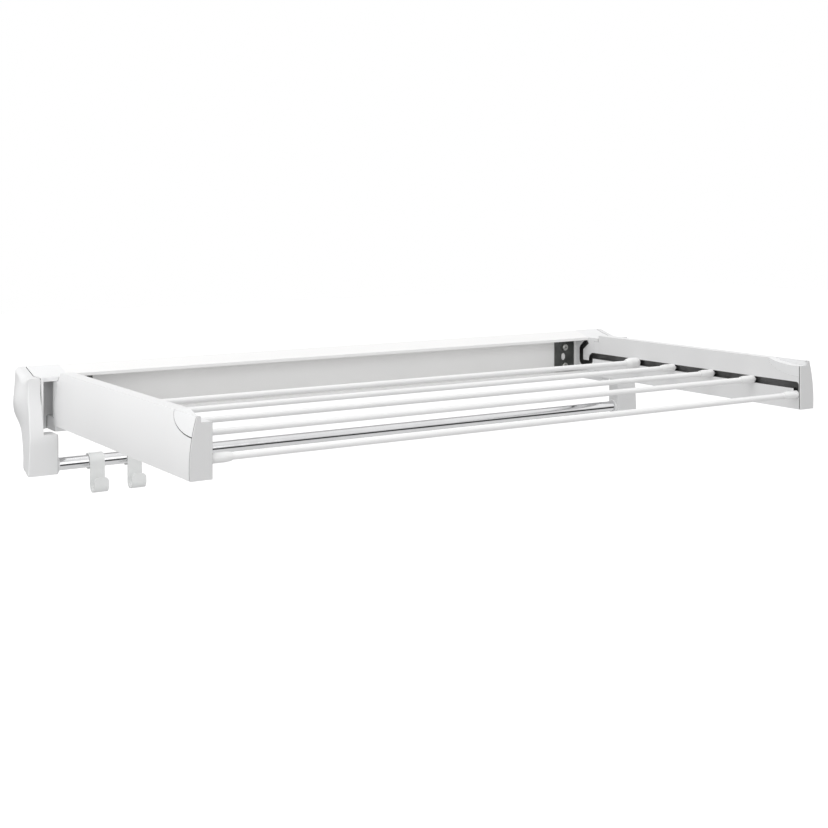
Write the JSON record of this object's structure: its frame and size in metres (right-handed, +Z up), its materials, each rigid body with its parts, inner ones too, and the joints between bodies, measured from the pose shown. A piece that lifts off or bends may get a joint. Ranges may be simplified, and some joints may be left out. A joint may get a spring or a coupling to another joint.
{
  "type": "wall mounted drying rack",
  "caption": "Wall mounted clothes drying rack with an open-fronted housing, two arms on vertical hinge pins, sliding rods, a chromed towel rail and strap hooks.",
  "frame": {"origin": "on the wall plane, centred in width, at the height of the upper wall screws", "axes": "+X along the wall to the right as seen from the room, +Y into the wall, +Z up"},
  "size_m": [1, 0.517, 0.1554],
  "materials": {
    "painted_metal_white": "satin white powder coat",
    "body_plastic": "fine satin white moulding",
    "cap_plastic": "fine satin white moulding",
    "coated_rod": "smooth white coating",
    "rod_cap_plastic": "semi-gloss white moulding",
    "hook_plastic": "satin white moulding",
    "track_steel": "dark plain steel",
    "plate_steel": "dark plain steel",
    "screw_zinc": "zinc plated",
    "pin_steel": "plain steel",
    "bush_plastic": "natural bearing plastic",
    "rail_chrome": "mirror chrome"
  },
  "bodies": {
    "rack": {"housing_channel": "painted_metal_white", "left_end_bracket": "body_plastic", "right_end_bracket": "body_plastic", "left_store_track": "track_steel", "right_store_track": "track_steel", "left_end_cover": "body_plastic", "right_end_cover": "body_plastic", "left_wall_plate": "plate_steel", "right_wall_plate": "plate_steel", "wall_screws": "screw_zinc", "rail_clamp_screws": "screw_zinc", "left_arm_profile": "painted_metal_white", "right_arm_profile": "painted_metal_white", "left_arm_track": "track_steel", "right_arm_track": "track_steel", "left_arm_grip": "body_plastic", "right_arm_grip": "body_plastic", "left_arm_end_cap": "cap_plastic", "right_arm_end_cap": "cap_plastic", "left_hinge_block": "body_plastic", "right_hinge_block": "body_plastic", "left_hinge_pin": "pin_steel", "right_hinge_pin": "pin_steel", "left_hinge_bushes": "bush_plastic", "right_hinge_bushes": "bush_plastic", "towel_rail": "rail_chrome", "left_rail_ring": "body_plastic", "right_rail_ring": "body_plastic"},
    "rod_1": {"rod_1_tube": "coated_rod", "rod_1_caps": "rod_cap_plastic"},
    "rod_2": {"rod_2_tube": "coated_rod", "rod_2_caps": "rod_cap_plastic"},
    "rod_3": {"rod_3_tube": "coated_rod", "rod_3_caps": "rod_cap_plastic"},
    "rod_4": {"rod_4_tube": "coated_rod", "rod_4_caps": "rod_cap_plastic"},
    "front_rod": {"front_rod_tube": "coated_rod", "front_rod_caps": "rod_cap_plastic"},
    "towel_hook_1": {"towel_hook_1": "hook_plastic"},
    "towel_hook_2": {"towel_hook_2": "hook_plastic"}
  },
  "joints": [
    {"name": "rod_4_slide", "type": "slide", "parent": "rack", "child": "rod_4", "axis": [0, 1, 0], "range_m": [0, 0.288]},
    {"name": "rod_1_slide", "type": "slide", "parent": "rack", "child": "rod_1", "axis": [0, 1, 0], "range_m": [0, 0.0902]},
    {"name": "rod_2_slide", "type": "slide", "parent": "rack", "child": "rod_2", "axis": [0, 1, 0], "range_m": [0, 0.1562]},
    {"name": "rod_3_slide", "type": "slide", "parent": "rack", "child": "rod_3", "axis": [0, 1, 0], "range_m": [0, 0.2222]},
    {"name": "front_rod_lift", "type": "slide", "parent": "rack", "child": "front_rod", "axis": [0, 0, 1], "range_m": [0, 0.012]},
    {"name": "towel_hook_1_slide", "type": "slide", "parent": "rack", "child": "towel_hook_1", "axis": [1, 0, 0], "range_m": [-0.036, 0.015]},
    {"name": "towel_hook_2_slide", "type": "slide", "parent": "rack", "child": "towel_hook_2", "axis": [1, 0, 0], "range_m": [-0.015, 0.8]}
  ],
  "couplings": [
    {"joint": "rod_1_slide", "follows": "rod_4_slide", "ratio": 0.3125},
    {"joint": "rod_2_slide", "follows": "rod_4_slide", "ratio": 0.54167},
    {"joint": "rod_3_slide", "follows": "rod_4_slide", "ratio": 0.77083}
  ]
}
